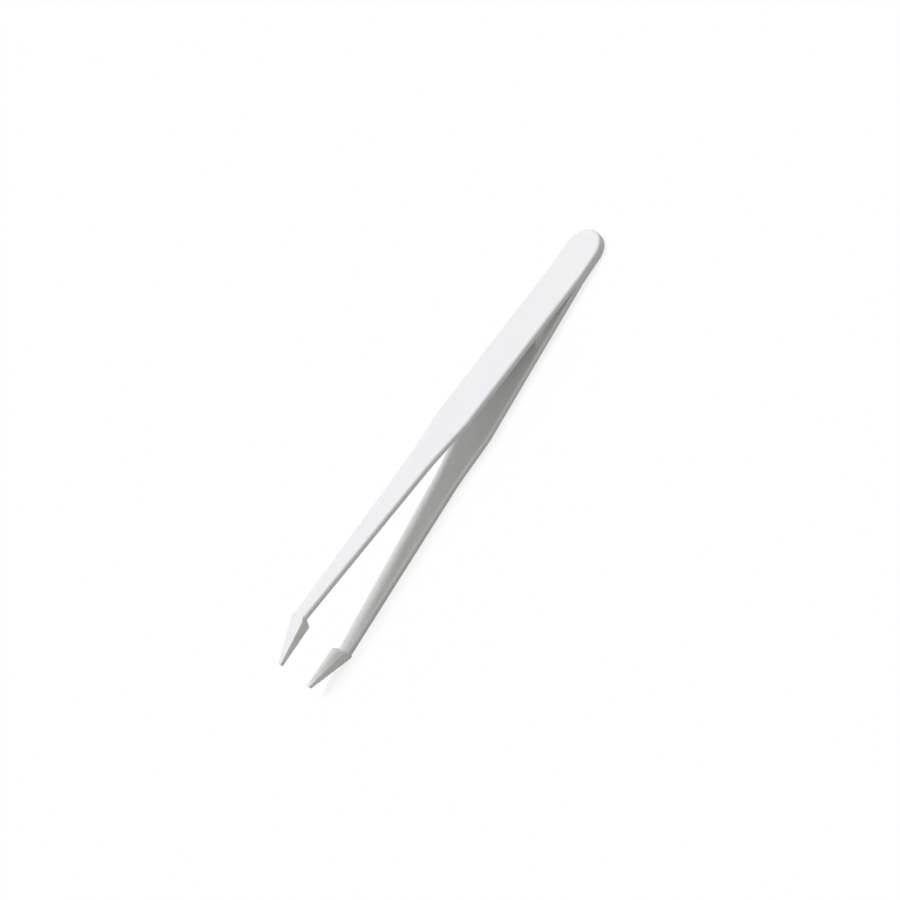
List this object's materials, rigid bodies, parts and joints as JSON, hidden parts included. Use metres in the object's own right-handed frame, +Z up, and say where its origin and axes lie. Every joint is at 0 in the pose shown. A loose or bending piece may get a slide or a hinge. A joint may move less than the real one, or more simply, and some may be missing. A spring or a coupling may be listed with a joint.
{
  "type": "plastic tweezers",
  "caption": "One-piece moulded plastic tweezers with a solid round tail, broad spring arms that narrow at a hip, and tapered heads with gripping pads.",
  "frame": {"origin": "centre of the bounding box, on the surface that the tweezers lie on", "axes": "+X from the tail to the tips, +Y across the arms, +Z up, with the arms one above the other"},
  "size_m": [0.1152, 0.0104, 0.0167],
  "materials": {
    "white_plastic": "satin moulded white plastic"
  },
  "bodies": {
    "root": {"tweezers": "white_plastic"}
  },
  "joints": []
}
